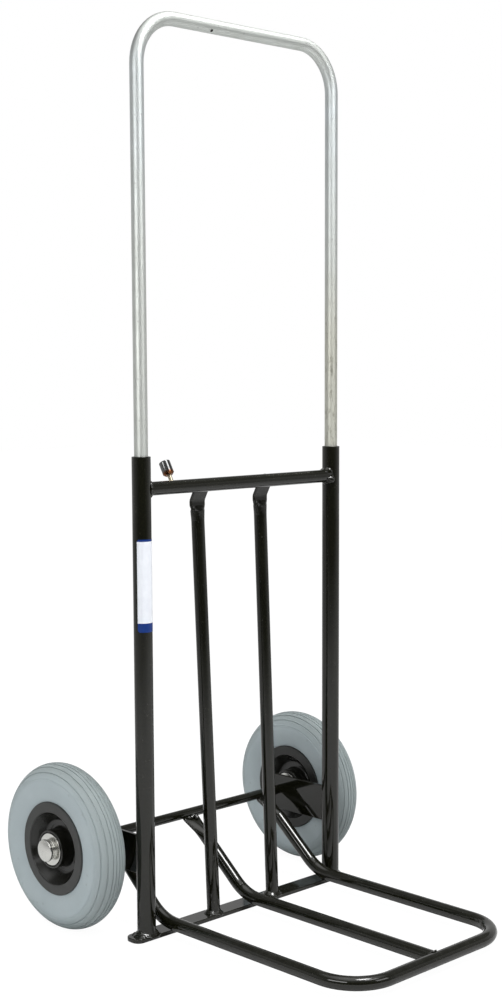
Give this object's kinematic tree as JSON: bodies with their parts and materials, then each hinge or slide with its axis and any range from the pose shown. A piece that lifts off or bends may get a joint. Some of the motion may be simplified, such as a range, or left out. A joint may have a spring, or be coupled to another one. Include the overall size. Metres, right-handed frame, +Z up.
{
  "type": "luggage trolley",
  "caption": "Two-wheeled upright luggage trolley: black tube frame, sliding zinc handle loop with a lock pin, folding tubular toe and pale solid tyres on dark rims.",
  "frame": {"origin": "midway between the uprights, on the base bar's underside, on the floor", "axes": "+X across the trolley along the axle, to the right when seen from the toe's side with the toe towards the viewer; +Y to the rear, away from the toe; +Z up along the uprights"},
  "size_m": [0.466, 0.5158, 1.065],
  "materials": {
    "black_paint": "gloss black powder coat",
    "zinc_tube": "bare zinc-plated tube, satin",
    "zinc_fittings": "bright zinc plate",
    "bare_steel": "plain steel",
    "chrome": "dark polished chrome plate",
    "yellow_zinc": "yellow passivated zinc",
    "tyre_rubber": "matt pale grey solid tyre",
    "rim_plastic": "satin charcoal plastic",
    "bush_plastic": "natural nylon",
    "guide_plastic": "black plastic"
  },
  "bodies": {
    "frame": {"base_bar": "black_paint", "left_upright": "black_paint", "right_upright": "black_paint", "upper_cross_tube": "black_paint", "left_rail": "black_paint", "right_rail": "black_paint", "left_wheel_bracket": "black_paint", "right_wheel_bracket": "black_paint", "lock_spring_stop": "bare_steel", "lock_spring": "bare_steel"},
    "handle": {"handle_loop": "zinc_tube", "left_handle_guide": "guide_plastic", "right_handle_guide": "guide_plastic"},
    "lock": {"lock_pin": "bare_steel", "lock_stem": "yellow_zinc", "lock_knob": "chrome"},
    "toe": {"toe_loop": "black_paint", "toe_centre_tube": "black_paint", "axle": "black_paint", "left_axle_spacer": "bare_steel", "right_axle_spacer": "bare_steel", "left_inner_washer": "zinc_fittings", "right_inner_washer": "zinc_fittings", "left_outer_washer": "zinc_fittings", "right_outer_washer": "zinc_fittings", "left_axle_cap": "zinc_fittings", "right_axle_cap": "zinc_fittings"},
    "left_wheel": {"left_tyre": "tyre_rubber", "left_rim": "rim_plastic", "left_wheel_bush": "bush_plastic"},
    "right_wheel": {"right_tyre": "tyre_rubber", "right_rim": "rim_plastic", "right_wheel_bush": "bush_plastic"}
  },
  "joints": [
    {"name": "handle_slide", "type": "slide", "parent": "frame", "child": "handle", "axis": [0, 0, -1], "range_m": [0, 0.43]},
    {"name": "lock_slide", "type": "slide", "parent": "frame", "child": "lock", "axis": [1, 0, 0], "range_m": [-0.0085, 0.004], "stiffness_N_per_m": 400, "springref_m": -0.02, "deforming": ["lock_spring"]},
    {"name": "toe_fold", "type": "hinge", "parent": "frame", "child": "toe", "pos_m": [0, 0.0993, 0.1], "axis": [-1, 0, 0], "range_deg": [0, 89]},
    {"name": "left_wheel_spin", "type": "hinge", "parent": "toe", "child": "left_wheel", "pos_m": [-0.2, 0.0993, 0.1], "axis": [1, 0, 0], "continuous": true},
    {"name": "right_wheel_spin", "type": "hinge", "parent": "toe", "child": "right_wheel", "pos_m": [0.2, 0.0993, 0.1], "axis": [1, 0, 0], "continuous": true}
  ]
}
